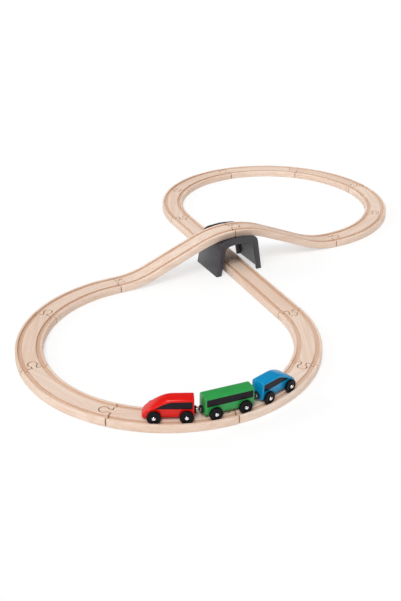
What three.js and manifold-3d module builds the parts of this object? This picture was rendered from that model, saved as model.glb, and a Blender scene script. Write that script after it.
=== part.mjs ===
// Wooden toy train on a figure-of-eight track: a three-car train with magnetic couplers,
// grooved track pieces with knob-and-socket ends, two ramps and a bridge support.
// Millimetres, +Z up, +Y along the layout, origin on the floor under the crossing.

import * as THREE from 'three';
import { mergeVertices } from 'three/addons/utils/BufferGeometryUtils.js';
import Module from 'manifold-3d';

// Track
const TRACK_RADIUS = 202;        // centre line of a curve
const STRAIGHT_LENGTH = 210;     // also the plan length of a ramp
const TRACK_WIDTH = 40;
const TRACK_HEIGHT = 12;
const TRACK_CHAMFER = 1.6;
const GAUGE = 26;                // between the centres of the two grooves
const GROOVE_WIDTH = 6;
const GROOVE_DEPTH = 3;
const CURVES_PER_LOOP = 6;
const JOINT_GAP = 0.5;           // between the ends of two pieces
const KNOB_RADIUS = 6;
const KNOB_REACH = 11;           // from the end of a piece to the middle of its knob
const KNOB_ROOT = 5;             // length of the neck inside its own piece
const NECK_WIDTH = 6;
const SOCKET_CLEARANCE = 0.7;

// Ramps
const RAMP_RISE = 59;            // underside of the track above the floor at the crossing
const RAMP_SLOPE = THREE.MathUtils.degToRad(22.2);   // straight run between the two bends

// Bridge support
const SUPPORT_DEPTH = 72;        // across the ramps
const SUPPORT_BASE = 87;         // along the ramps, at the floor
const SUPPORT_LEAN = 0.164;      // each leg leans in this much per unit of height
const SUPPORT_ROUND = 15;        // shoulders of the end walls
const SUPPORT_LIP = 7;           // end walls above the underside of the ramps
const SUPPORT_FALL = 3;          // from the middle of an arch's top to its shoulders
const SUPPORT_CROWN = 90;        // bend along the top of an arch
const SUPPORT_WALL = 3;
const SUPPORT_LEG = 9.5;         // end wall beside its opening
const SUPPORT_BEAM = 5;          // top of the opening below the ramps
const SEAT_GAP = 0.3;            // between the ramps and the saddle

// Wheels and axles
const WHEEL_RADIUS = 9.2;
const WHEEL_WIDTH = 4;
const WHEEL_CHAMFER = 1;
const WHEELBASE = 41;
const AXLE_RADIUS = 1.6;
const AXLE_HEAD_RADIUS = 2.7;
const AXLE_HEAD_HEIGHT = 1.8;
const RUN_GAP = 0.3;             // between parts that turn or roll on each other
const FIT_GAP = 0.3;             // between parts that stay together

// Car bodies, lengths counted from the middle of the wheelbase
const BODY_WIDTH = 20;
const BODY_BOTTOM = 15;
const BODY_TOP = 42;
const BODY_ROUND = 1.6;
const WAGON_HALF = 34;           // both ends of the middle wagon
const CAB_BACK = 30;             // coupled end of the engine and of the tail car
const CAB_NOSE = 36;             // their rounded end
const NOSE_TIP = 3;              // height of the blunt tip
const NOSE_PLAN_ROUND = 7;       // corners of the nose seen from above
const NOSE_SPRING = 6;           // the nose curve leaves the tip at 45 degrees for this far
const ROOF_END = 3;              // the flat roof ends this far behind the middle
const ROOF_TANGENT = 17;         // and keeps its direction for this far

// Painted window bands, milled into both sides
const WINDOW_BOTTOM = 28.2;
const WINDOW_HEIGHT = 10.6;
const WINDOW_MARGIN = 2;         // from the ends of a body
const WINDOW_DEPTH = 0.7;
const WINDOW_ROUND = 0.8;
const WINDOW_SET_BACK = 3.5;     // the band of a cab follows its roof, moved back
const WINDOW_DROP = 2.8;         // and down

// Couplers
const COUPLER_HEIGHT = 21.5;
const COUPLER_RADIUS = 5.2;
const COUPLER_REACH = 4;         // from the end of a body to the rim of the cup
const COUPLER_RIM = 1.5;
const SHANK_RADIUS = 2.4;
const SHANK_LENGTH = 5;
const MAGNET_THICKNESS = 2.2;
const COUPLER_CLEARANCE = 0.6;   // between two couplers that face each other

// Where the train stands on the near loop, the middle wagon's angle from +X
const TRAIN_ANGLE = THREE.MathUtils.degToRad(-47.5);

// Facets
const CURVE_STEPS = 7;
const BEND_STEPS = 7;
const ROUND_STEPS = 6;
const NOSE_STEPS = 12;
const KNOB_STEPS = 10;
const WHEEL_STEPS = 16;
const PIN_STEPS = 10;
const DOME_STEPS = 3;

// The straights and ramps cross at the angle that closes the figure of eight.
const CROSSING = Math.atan2(TRACK_RADIUS, STRAIGHT_LENGTH);
const CURVE_SWEEP = (Math.PI + 2 * CROSSING) / CURVES_PER_LOOP;
const LOOP_OFFSET = Math.hypot(TRACK_RADIUS, STRAIGHT_LENGTH);
// Radius of a ramp's two equal bends, on the middle of the plank, which brings it to its height.
const RAMP_BEND = (STRAIGHT_LENGTH * Math.sin(RAMP_SLOPE) - RAMP_RISE * Math.cos(RAMP_SLOPE))
  / (2 * (1 - Math.cos(RAMP_SLOPE)));
const CAR_RADIUS = Math.sqrt(TRACK_RADIUS ** 2 - (WHEELBASE / 2) ** 2);
const AXLE_HEIGHT = TRACK_HEIGHT - GROOVE_DEPTH + RUN_GAP + WHEEL_RADIUS;

const X = new THREE.Vector3(1, 0, 0);
const Y = new THREE.Vector3(0, 1, 0);
const Z = new THREE.Vector3(0, 0, 1);

const wasm = await Module();
wasm.setup();

const part = new THREE.Group();
part.name = 'wooden_toy_train';

// Shared helpers

function material(color, roughness, metalness = 0) {
  return new THREE.MeshStandardMaterial({ color, roughness, metalness });
}

function solid(geometry) {
  const plain = geometry.clone();
  plain.deleteAttribute('normal');
  plain.deleteAttribute('uv');
  const merged = mergeVertices(plain, 1e-4);
  return new wasm.Manifold(new wasm.Mesh({
    numProp: 3,
    vertProperties: new Float32Array(merged.attributes.position.array),
    triVerts: new Uint32Array(merged.index.array),
  }));
}

function geometryOf(manifold) {
  const mesh = manifold.getMesh();
  const geometry = new THREE.BufferGeometry();
  geometry.setAttribute('position', new THREE.BufferAttribute(mesh.vertProperties, 3));
  geometry.setIndex(new THREE.BufferAttribute(mesh.triVerts, 1));
  return geometry;
}

function addMesh(group, name, geometry, look) {
  const mesh = new THREE.Mesh(geometry, look.clone());
  mesh.name = name;
  group.add(mesh);
  return mesh;
}

// Outline through the corner points, each corner rounded with its own radius.
function roundedOutline(corners) {
  const shape = new THREE.Shape();
  corners.forEach(([x, y, radius], i) => {
    const here = new THREE.Vector2(x, y);
    const before = new THREE.Vector2(...corners.at(i - 1)).sub(here);
    const after = new THREE.Vector2(...corners[(i + 1) % corners.length]).sub(here);
    const turn = Math.acos(before.dot(after) / (before.length() * after.length()));
    const reach = radius / Math.tan(turn / 2);
    const start = before.setLength(reach).add(here);
    const end = after.setLength(reach).add(here);
    if (i === 0) shape.moveTo(start.x, start.y);
    else shape.lineTo(start.x, start.y);
    if (radius > 0) shape.quadraticCurveTo(x, y, end.x, end.y);
  });
  shape.closePath();
  return shape;
}

// Extrudes an outline drawn on the axes u and v, half the depth to each side of the middle.
function prism(shape, depth, u, v, round = 0, steps = ROUND_STEPS) {
  const geometry = new THREE.ExtrudeGeometry(shape, {
    depth: depth - 2 * round,
    curveSegments: steps,
    bevelEnabled: round > 0,
    bevelSize: round,
    bevelThickness: round,
    bevelOffset: -round,
    bevelSegments: 2,
  });
  geometry.translate(0, 0, round - depth / 2);
  return geometry.applyMatrix4(new THREE.Matrix4().makeBasis(u, v, u.clone().cross(v)));
}

function cylinder(radius, length, axis) {
  const geometry = new THREE.CylinderGeometry(radius, radius, length, PIN_STEPS);
  const turn = new THREE.Quaternion().setFromUnitVectors(Y, axis);
  return geometry.applyQuaternion(turn);
}

// Turns a profile of [radius, distance along the axis] pairs.
function turned(profile, axis, steps) {
  const geometry = new THREE.LatheGeometry(profile.map(([r, a]) => new THREE.Vector2(r, a)), steps);
  const turn = new THREE.Quaternion().setFromUnitVectors(Y, axis);
  return geometry.applyQuaternion(turn);
}

// Sweeps a closed section through stations, each a matrix that carries the section's plane.
function sweep(section, stations) {
  const count = section.length;
  const points = stations.flatMap((station) =>
    section.map((p) => new THREE.Vector3(p.x, p.y, 0).applyMatrix4(station)));
  const faces = [];
  for (let ring = 0; ring < stations.length - 1; ring += 1) {
    for (let i = 0; i < count; i += 1) {
      const a = ring * count + i;
      const b = ring * count + (i + 1) % count;
      faces.push(a, b, b + count, a, b + count, a + count);
    }
  }
  const last = (stations.length - 1) * count;
  for (const [a, b, c] of THREE.ShapeUtils.triangulateShape(section, [])) {
    faces.push(a, c, b, last + a, last + b, last + c);
  }
  const geometry = new THREE.BufferGeometry().setFromPoints(points);
  geometry.setIndex(faces);
  return geometry;
}

function station(position, lateral, up) {
  const matrix = new THREE.Matrix4().makeBasis(lateral, up, lateral.clone().cross(up));
  return matrix.setPosition(position);
}

// Track pieces: each starts at its own origin on the floor and runs towards +X.

// One face of the plank from edge to edge: [across, depth below the face].
function faceLine(grooved) {
  const edge = TRACK_WIDTH / 2;
  const line = [[-edge, TRACK_CHAMFER], [TRACK_CHAMFER - edge, 0]];
  for (const middle of grooved ? [-GAUGE / 2, GAUGE / 2] : []) {
    const near = middle - GROOVE_WIDTH / 2;
    const far = middle + GROOVE_WIDTH / 2;
    line.push([near, 0], [near, GROOVE_DEPTH], [far, GROOVE_DEPTH], [far, 0]);
  }
  line.push([edge - TRACK_CHAMFER, 0], [edge, TRACK_CHAMFER]);
  return line;
}

// Cross-section about the middle of the plank, with grooves on top or on both faces.
function trackSection(bothFaces) {
  const half = TRACK_HEIGHT / 2;
  const below = faceLine(bothFaces).map(([x, d]) => new THREE.Vector2(x, d - half));
  const above = faceLine(true).reverse().map(([x, d]) => new THREE.Vector2(x, half - d));
  return [...below, ...above];
}

// Plan outline shared by a knob and its socket, from the root of the neck to the round end.
function keyhole(clearance) {
  const radius = KNOB_RADIUS + clearance;
  const neck = NECK_WIDTH / 2 + clearance;
  const open = Math.PI - Math.asin(neck / radius);
  const shape = new THREE.Shape();
  shape.moveTo(-KNOB_ROOT, neck);
  shape.lineTo(-KNOB_ROOT, -neck);
  shape.absarc(KNOB_REACH, 0, radius, -open, open, false);
  shape.closePath();
  return shape;
}

function keyholeSolid(clearance, height) {
  const geometry = new THREE.ExtrudeGeometry(keyhole(clearance), {
    depth: height,
    curveSegments: KNOB_STEPS,
    bevelEnabled: false,
  });
  return geometry.translate(0, 0, (TRACK_HEIGHT - height) / 2);
}

// Adds the knob at the far end of a plank and cuts the socket at its near end.
function withConnectors(plank, entry, exit) {
  const knob = solid(keyholeSolid(0, TRACK_HEIGHT).applyMatrix4(exit));
  const socket = solid(keyholeSolid(SOCKET_CLEARANCE, 2 * TRACK_HEIGHT).applyMatrix4(entry));
  return geometryOf(solid(plank).subtract(socket).add(knob));
}

function straightPiece() {
  const exit = new THREE.Matrix4().makeTranslation(STRAIGHT_LENGTH, 0, 0);
  const ends = [JOINT_GAP / 2, STRAIGHT_LENGTH - JOINT_GAP / 2];
  const stations = ends.map((x) => station(new THREE.Vector3(x, 0, TRACK_HEIGHT / 2), Y, Z));
  const plank = sweep(trackSection(true), stations);
  return { geometry: withConnectors(plank, new THREE.Matrix4(), exit), exit };
}

// Carries the start of a curve to its end, turning left for +1 and right for -1.
function curveExit(side) {
  return new THREE.Matrix4().makeTranslation(0, side * TRACK_RADIUS, 0)
    .multiply(new THREE.Matrix4().makeRotationZ(side * CURVE_SWEEP))
    .multiply(new THREE.Matrix4().makeTranslation(0, -side * TRACK_RADIUS, 0));
}

function rightCurve() {
  const exit = curveExit(-1);
  const trim = JOINT_GAP / 2 / TRACK_RADIUS;
  const stations = [];
  for (let i = 0; i <= CURVE_STEPS; i += 1) {
    const angle = THREE.MathUtils.lerp(trim, CURVE_SWEEP - trim, i / CURVE_STEPS);
    const outward = new THREE.Vector3(Math.sin(angle), Math.cos(angle), 0);
    const centre = new THREE.Vector3(0, -TRACK_RADIUS, TRACK_HEIGHT / 2);
    stations.push(station(centre.addScaledVector(outward, TRACK_RADIUS), outward, Z));
  }
  const plank = sweep(trackSection(true), stations);
  return { geometry: withConnectors(plank, new THREE.Matrix4(), exit), exit };
}

// The same curve turned over.
function leftCurve(right) {
  const geometry = right.geometry.clone().rotateX(Math.PI).translate(0, 0, TRACK_HEIGHT);
  return { geometry, exit: curveExit(1) };
}

// Middle of a ramp's plank as [along, height, slope], rising towards +X.
function rampLine() {
  const foot = [[JOINT_GAP / 2, TRACK_HEIGHT / 2, 0]];
  const crest = [[STRAIGHT_LENGTH - JOINT_GAP / 2, RAMP_RISE + TRACK_HEIGHT / 2, 0]];
  for (let i = 1; i <= BEND_STEPS; i += 1) {
    const angle = RAMP_SLOPE * i / BEND_STEPS;
    const along = RAMP_BEND * Math.sin(angle);
    const climb = RAMP_BEND * (1 - Math.cos(angle));
    foot.push([along, TRACK_HEIGHT / 2 + climb, angle]);
    crest.unshift([STRAIGHT_LENGTH - along, RAMP_RISE + TRACK_HEIGHT / 2 - climb, angle]);
  }
  return [...foot, ...crest];
}

// The rising ramp has its socket at the foot, the falling one at the crest.
function rampPiece(rising) {
  const line = rampLine();
  if (!rising) {
    line.reverse();
    line.forEach((p) => p.splice(0, 3, STRAIGHT_LENGTH - p[0], p[1] - RAMP_RISE, -p[2]));
  }
  const stations = line.map(([x, z, slope]) =>
    station(new THREE.Vector3(x, 0, z), Y, new THREE.Vector3(-Math.sin(slope), 0, Math.cos(slope))));
  const climb = rising ? RAMP_RISE : -RAMP_RISE;
  const exit = new THREE.Matrix4().makeTranslation(STRAIGHT_LENGTH, 0, climb);
  const plank = sweep(trackSection(false), stations);
  return { geometry: withConnectors(plank, new THREE.Matrix4(), exit), exit };
}

// Lays the pieces one after another, starting at the crossing towards the near loop.
function layTrack(group, look) {
  const straight = straightPiece();
  const right = rightCurve();
  const left = leftCurve(right);
  const loop = Array.from({ length: CURVES_PER_LOOP }, (_, i) => i + 1);
  const order = [
    ['straight_near', straight],
    ...loop.map((i) => [`curve_near_${i}`, right]),
    ['ramp_rising', rampPiece(true)],
    ['ramp_falling', rampPiece(false)],
    ...loop.map((i) => [`curve_far_${i}`, left]),
    ['straight_far', straight],
  ];
  const here = new THREE.Matrix4().makeRotationZ(CROSSING - Math.PI / 2);
  for (const [name, piece] of order) {
    addMesh(group, name, piece.geometry, look).applyMatrix4(here);
    here.multiply(piece.exit);
  }
}

// Bridge support: a hollow moulded arch, drawn with +X along the ramps.

// An arch with leaning legs, rounded shoulders and a slightly crowned top.
function archOutline(inset, top, round) {
  const foot = SUPPORT_BASE / 2 - inset;
  const shoulder = foot - SUPPORT_LEAN * (top - SUPPORT_FALL);
  return roundedOutline([
    [-foot, 0, 0],
    [foot, 0, 0],
    [shoulder, top - SUPPORT_FALL, round],
    [0, top, SUPPORT_CROWN],
    [-shoulder, top - SUPPORT_FALL, round],
  ]);
}

// The space above the saddle, which follows the underside of the two ramps.
function saddleOutline() {
  const radius = RAMP_BEND - TRACK_HEIGHT / 2 - SEAT_GAP;
  const middle = RAMP_RISE + TRACK_HEIGHT / 2 - RAMP_BEND;
  const half = SUPPORT_BASE / 2;
  const side = Math.asin(half / radius);
  const shape = new THREE.Shape();
  shape.moveTo(half, RAMP_RISE + 2 * SUPPORT_LIP);
  shape.lineTo(-half, RAMP_RISE + 2 * SUPPORT_LIP);
  shape.absarc(0, middle, radius, Math.PI / 2 + side, Math.PI / 2 - side, true);
  shape.closePath();
  return shape;
}

function supportGeometry() {
  const between = SUPPORT_DEPTH - 2 * SUPPORT_WALL;
  const walls = archOutline(0, RAMP_RISE + SUPPORT_LIP, SUPPORT_ROUND);
  const hollow = archOutline(SUPPORT_WALL, RAMP_RISE - SEAT_GAP - SUPPORT_WALL, SUPPORT_ROUND);
  const opening = archOutline(SUPPORT_LEG, RAMP_RISE - SUPPORT_BEAM, SUPPORT_ROUND - SUPPORT_WALL);
  const block = solid(prism(walls, SUPPORT_DEPTH, X, Z))
    .subtract(solid(prism(saddleOutline(), between, X, Z, 0, 4 * ROUND_STEPS)))
    .subtract(solid(prism(hollow, between, X, Z)))
    .subtract(solid(prism(opening, 2 * SUPPORT_DEPTH, X, Z)));
  return geometryOf(block);
}

function addSupport(group, look) {
  const mesh = addMesh(group, 'bridge_support', supportGeometry(), look);
  mesh.rotation.z = Math.PI / 2 - CROSSING;
}

// Train: each car is drawn with +X away from the loop's centre and its front towards -Y.

function wagonOutline() {
  return roundedOutline([
    [-WAGON_HALF, BODY_BOTTOM, 0],
    [WAGON_HALF, BODY_BOTTOM, 0],
    [WAGON_HALF, BODY_TOP, 0],
    [-WAGON_HALF, BODY_TOP, 0],
  ]);
}

// Side view of the engine: upright at the back, a long curve from the roof to a low nose.
function cabOutline() {
  const tip = BODY_BOTTOM + NOSE_TIP;
  const shape = new THREE.Shape();
  shape.moveTo(CAB_BACK, BODY_BOTTOM);
  shape.lineTo(CAB_BACK, BODY_TOP);
  shape.lineTo(ROOF_END, BODY_TOP);
  shape.bezierCurveTo(ROOF_END - ROOF_TANGENT, BODY_TOP,
    NOSE_SPRING - CAB_NOSE, tip + NOSE_SPRING, -CAB_NOSE, tip);
  shape.lineTo(-CAB_NOSE, BODY_BOTTOM);
  shape.closePath();
  return shape;
}

// Plan of the engine, which rounds the corners of the nose.
function cabPlan() {
  return roundedOutline([
    [-BODY_WIDTH / 2, -CAB_NOSE, NOSE_PLAN_ROUND],
    [BODY_WIDTH / 2, -CAB_NOSE, NOSE_PLAN_ROUND],
    [BODY_WIDTH / 2, CAB_BACK, 0],
    [-BODY_WIDTH / 2, CAB_BACK, 0],
  ]);
}

// The window band's space on both sides of a body: everything outside its milled depth.
function windowBand(front, back) {
  const low = WINDOW_BOTTOM;
  const high = WINDOW_BOTTOM + WINDOW_HEIGHT;
  const outline = roundedOutline([
    [front, low, WINDOW_ROUND],
    [back, low, WINDOW_ROUND],
    [back, high, WINDOW_ROUND],
    [front, high, WINDOW_ROUND],
  ]);
  const core = BODY_WIDTH - 2 * WINDOW_DEPTH;
  return solid(prism(outline, 2 * BODY_WIDTH, Y, Z)).subtract(solid(prism(outline, core, Y, Z)));
}

function axleBores() {
  const bores = [-1, 1].map((end) => {
    const bore = cylinder(AXLE_RADIUS + FIT_GAP, 2 * BODY_WIDTH, X);
    return solid(bore.translate(0, end * WHEELBASE / 2, AXLE_HEIGHT));
  });
  return bores[0].add(bores[1]);
}

function shankBore(bodyEnd) {
  const bore = cylinder(SHANK_RADIUS + FIT_GAP, 2 * (SHANK_LENGTH + FIT_GAP), Y);
  return solid(bore.translate(0, bodyEnd, COUPLER_HEIGHT));
}

function wagonGeometry() {
  const block = solid(prism(wagonOutline(), BODY_WIDTH, Y, Z, BODY_ROUND));
  const reach = WAGON_HALF - WINDOW_MARGIN;
  return geometryOf(block
    .subtract(windowBand(-reach, reach))
    .subtract(axleBores())
    .subtract(shankBore(WAGON_HALF))
    .subtract(shankBore(-WAGON_HALF)));
}

function cabGeometry() {
  const outline = cabOutline();
  const plan = prism(cabPlan(), 4 * BODY_TOP, X, Y);
  const block = solid(prism(outline, BODY_WIDTH, Y, Z, BODY_ROUND, NOSE_STEPS)).intersect(solid(plan));
  const roofline = prism(outline, 2 * BODY_WIDTH + 1, Y, Z, 0, NOSE_STEPS);
  const band = windowBand(-CAB_NOSE, CAB_BACK - WINDOW_MARGIN)
    .intersect(solid(roofline.translate(0, WINDOW_SET_BACK, -WINDOW_DROP)));
  return geometryOf(block.subtract(band).subtract(axleBores()).subtract(shankBore(CAB_BACK)));
}

function wheelGeometry() {
  const bore = AXLE_RADIUS + RUN_GAP;
  const half = WHEEL_WIDTH / 2;
  const shoulder = WHEEL_RADIUS - WHEEL_CHAMFER;
  return turned([
    [bore, -half],
    [shoulder, -half],
    [WHEEL_RADIUS, WHEEL_CHAMFER - half],
    [WHEEL_RADIUS, half - WHEEL_CHAMFER],
    [shoulder, half],
    [bore, half],
    [bore, -half],
  ], X, WHEEL_STEPS);
}

// A pin with a domed head outside each wheel.
function axleGeometry() {
  const half = GAUGE / 2 + WHEEL_WIDTH / 2 + RUN_GAP;
  const end = [[AXLE_RADIUS, half]];
  for (let i = 0; i < DOME_STEPS; i += 1) {
    const angle = Math.PI / 2 * i / DOME_STEPS;
    end.push([AXLE_HEAD_RADIUS * Math.cos(angle), half + AXLE_HEAD_HEIGHT * Math.sin(angle)]);
  }
  end.push([0, half + AXLE_HEAD_HEIGHT]);
  const start = end.map(([radius, along]) => [radius, -along]).reverse();
  return turned([...start, ...end], X, PIN_STEPS);
}

// A cup on a shank, drawn outwards from the end of a body.
function couplerGeometry() {
  const inside = COUPLER_RADIUS - COUPLER_RIM;
  const floor = COUPLER_REACH - MAGNET_THICKNESS - FIT_GAP;
  return turned([
    [0, -SHANK_LENGTH],
    [SHANK_RADIUS, -SHANK_LENGTH],
    [SHANK_RADIUS, FIT_GAP],
    [COUPLER_RADIUS, FIT_GAP],
    [COUPLER_RADIUS, COUPLER_REACH],
    [inside, COUPLER_REACH],
    [inside, floor],
    [0, floor],
  ], Y, PIN_STEPS);
}

function magnetGeometry() {
  const radius = COUPLER_RADIUS - COUPLER_RIM - FIT_GAP;
  const back = COUPLER_REACH - MAGNET_THICKNESS;
  return turned([[0, back], [radius, back], [radius, COUPLER_REACH], [0, COUPLER_REACH]], Y, PIN_STEPS);
}

function addWheelset(car, name, end, looks) {
  const along = end * WHEELBASE / 2;
  const place = end < 0 ? 'front' : 'rear';
  addMesh(car, `${name}_axle_${place}`, axleGeometry(), looks.steel).position.set(0, along, AXLE_HEIGHT);
  for (const side of [-1, 1]) {
    const wheel = `${name}_wheel_${place}_${side < 0 ? 'inner' : 'outer'}`;
    addMesh(car, wheel, wheelGeometry(), looks.wheel).position.set(side * GAUGE / 2, along, AXLE_HEIGHT);
  }
}

function addCoupler(car, name, end, bodyEnd, looks) {
  const place = end < 0 ? 'front' : 'rear';
  const coupler = new THREE.Group();
  coupler.position.set(0, end * bodyEnd, COUPLER_HEIGHT);
  coupler.rotation.z = end < 0 ? Math.PI : 0;
  addMesh(coupler, `${name}_coupler_${place}`, couplerGeometry(), looks.plastic);
  addMesh(coupler, `${name}_magnet_${place}`, magnetGeometry(), looks.magnet);
  car.add(coupler);
}

// Half the angle between two coupled cars that belongs to the car with this body end.
function couplerAngle(bodyEnd) {
  const rim = bodyEnd + COUPLER_REACH;
  const slack = COUPLER_RADIUS * rim / CAR_RADIUS + COUPLER_CLEARANCE / 2;
  return Math.atan2(rim + slack, CAR_RADIUS);
}

function addCar(group, name, angle, body, paint, couplers, looks) {
  const car = new THREE.Group();
  car.position.set(CAR_RADIUS * Math.cos(angle), CAR_RADIUS * Math.sin(angle) - LOOP_OFFSET, 0);
  car.rotation.z = angle;
  addMesh(car, `${name}_body`, body, paint);
  for (const end of [-1, 1]) addWheelset(car, name, end, looks);
  for (const [end, bodyEnd] of couplers) addCoupler(car, name, end, bodyEnd, looks);
  group.add(car);
}

function addTrain(group) {
  const looks = {
    wheel: material(0x17171a, 0.4),
    plastic: material(0x1d1d20, 0.45),
    steel: material(0xd6d8da, 0.25, 1),
    magnet: material(0xc4c7ca, 0.3, 1),
  };
  const pitch = couplerAngle(WAGON_HALF) + couplerAngle(CAB_BACK);
  const cab = cabGeometry();
  const turnedCab = cab.clone().rotateZ(Math.PI);
  const wagonEnds = [[-1, WAGON_HALF], [1, WAGON_HALF]];
  addCar(group, 'engine', TRAIN_ANGLE - pitch, cab, material(0xd9120c, 0.3), [[1, CAB_BACK]], looks);
  addCar(group, 'wagon', TRAIN_ANGLE, wagonGeometry(), material(0x2b9a44, 0.3), wagonEnds, looks);
  addCar(group, 'tail', TRAIN_ANGLE + pitch, turnedCab, material(0x0c82c0, 0.3), [[-1, CAB_BACK]], looks);
}

layTrack(part, material(0xe3c4a4, 0.55));
addSupport(part, material(0x4b4b52, 0.6));
addTrain(part);

export default part;
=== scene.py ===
import math

import bmesh
import bpy
from bmesh.types import BMFace, BMVert
from bpy.props import FloatProperty, FloatVectorProperty, IntProperty, PointerProperty
from mathutils import Matrix, Vector


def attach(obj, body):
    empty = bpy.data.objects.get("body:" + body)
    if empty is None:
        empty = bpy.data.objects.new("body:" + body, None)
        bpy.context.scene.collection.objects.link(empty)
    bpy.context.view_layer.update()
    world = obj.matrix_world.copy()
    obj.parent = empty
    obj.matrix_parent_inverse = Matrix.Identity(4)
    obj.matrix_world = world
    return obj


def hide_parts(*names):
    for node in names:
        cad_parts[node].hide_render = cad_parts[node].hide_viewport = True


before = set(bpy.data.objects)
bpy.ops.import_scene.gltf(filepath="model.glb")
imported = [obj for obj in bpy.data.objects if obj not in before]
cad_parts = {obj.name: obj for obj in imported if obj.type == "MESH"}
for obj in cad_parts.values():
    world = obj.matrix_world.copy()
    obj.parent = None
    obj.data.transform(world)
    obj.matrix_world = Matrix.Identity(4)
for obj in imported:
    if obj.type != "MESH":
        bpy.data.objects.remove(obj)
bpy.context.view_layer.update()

bl_info = {
    "name": "Wooden toy train",
    "version": (1, 0, 0),
    "blender": (4, 5, 0),
    "location": "View3D > Sidebar > Train",
    "description": "Finished pieces of a wooden train on a figure-of-eight track",
    "category": "Object",
}

# Angles that count as smooth, flat, sharp or a corner
SMOOTH_BELOW = math.radians(34)
FLAT_BELOW = math.radians(1)
SHARP_ABOVE = math.radians(40)
CORNER_ABOVE = math.radians(60)

# Segments along curves and round edges
CURVE_STEPS = 40
BEND_STEPS = 20
KNOB_STEPS = 40
NOSE_STEPS = 36
ROUND_STEPS = 4
MOULD_STEPS = 2
DOME_STEPS = 8
TURN_STEPS = 64

# A cab's edges are less rounded where its nose is lower than this many roundings.
NOSE_EDGE = 6

# Darkening of a cut end or of a connector's walls, where the floor of a groove has 1: darker cut
# wood and painted shade in the gaps
CUT_WOOD_AND_SHADE = 1.6

# Shares of the grain colour in wood of darkening 1 (milled tone with painted shade) and in the
# darkest board
MILLED_TONE_AND_SHADE = 0.4
BOARD_TONE = 0.25

# Tone of the first board, and the steps in tone and place from one board to the next
FIRST_TONE = 0.9
NEXT_TONE = 0.618
NEXT_BOARD = Vector((0.37, 0.11, 0.23))

# Distances in metres at which points merge or touch
MERGE = 1e-6
TOUCH = 1e-5

BLACK = (0, 0, 0)
WHITE = (1, 1, 1)
ENDS = ((-1, "front"), (1, "rear"))
SIDES = ((-1, "inner"), (1, "outer"))
AXIS = {"X": Vector((1, 0, 0)), "Y": Vector((0, 1, 0)), "Z": Vector((0, 0, 1))}


def srgb(code):
    """Linear colour of an sRGB hex number."""
    parts = [(code >> shift & 255) / 255 for shift in (16, 8, 0)]
    return tuple(p / 12.92 if p <= 0.04045 else ((p + 0.055) / 1.055) ** 2.4 for p in parts)


def length(name, millimetres, description):
    return FloatProperty(
        name=name, description=description, default=millimetres / 1000, min=0, unit='LENGTH')


def angle(name, degrees, description):
    return FloatProperty(
        name=name, description=description, default=math.radians(degrees), unit='ROTATION')


def colour(name, code, description):
    return FloatVectorProperty(
        name=name, description=description, default=srgb(code), min=0, max=1, size=3,
        subtype='COLOR')


class TrackSizes(bpy.types.PropertyGroup):
    radius: length("Curve radius", 202, "Centre line of a curve")
    straight: length("Straight", 210, "Length of a straight, and of a ramp seen from above")
    width: length("Width", 40, "Width of the plank")
    height: length("Height", 12, "Thickness of the plank")
    edge_round: length("Edge round", 1.8, "Rounding of the long edges")
    gauge: length("Gauge", 26, "Between the middles of the two grooves")
    groove_width: length("Groove width", 6, "Width of a groove")
    groove_depth: length("Groove depth", 3, "Depth of a groove")
    groove_ease: length("Groove ease", 0.5, "Sanded edge of a groove")
    curves: IntProperty(name="Curves", description="Curved pieces in each loop", default=6, min=1)
    joint_gap: length("Joint gap", 1.3, "Between the ends of two pieces")
    end_ease: length("End ease", 0.5, "Sanded edge round the end of a piece")
    knob_radius: length("Knob radius", 6, "Round end of the connector")
    knob_reach: length("Knob reach", 11, "From the end of a piece to the middle of its knob")
    knob_root: length("Knob root", 5, "Length of the neck inside its own piece")
    knob_sink: length("Knob sink", 0.1, "The connector lies this far below each face of the plank")
    neck_width: length("Neck width", 6, "Width of the connector's neck")
    clearance: length("Clearance", 1.1, "Between a knob and its socket")
    rise: length("Rise", 59, "Underside of the track above the floor at the crossing")
    slope: angle("Slope", 22.2, "Straight run of a ramp between its two bends")


class SupportSizes(bpy.types.PropertyGroup):
    edge_round: length("Edge round", 0.7, "Moulded edges")


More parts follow.
